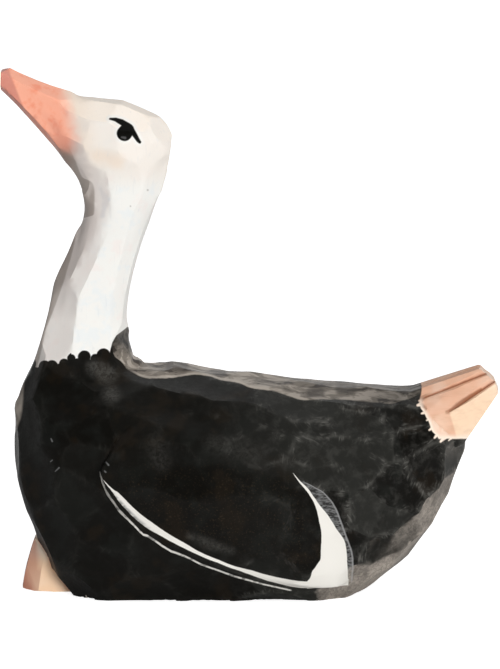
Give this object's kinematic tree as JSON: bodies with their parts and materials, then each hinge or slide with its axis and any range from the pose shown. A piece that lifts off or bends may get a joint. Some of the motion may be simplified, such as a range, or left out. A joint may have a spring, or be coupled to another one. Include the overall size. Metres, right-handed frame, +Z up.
{
  "type": "ostrich figurine",
  "caption": "Small hand-carved wooden ostrich at rest on its folded legs, neck upright and beak lifted, painted black and white with a salmon beak and bare wooden tail and feet.",
  "frame": {"origin": "on the flat underside, below the middle of the bounding box", "axes": "beak towards -X, tail towards +X, +Z up, the bird's left side towards -Y"},
  "size_m": [0.0618, 0.0268, 0.0651],
  "materials": {
    "painted_limewood": "matt hand-painted limewood"
  },
  "bodies": {
    "root": {"ostrich": "painted_limewood"}
  },
  "joints": []
}
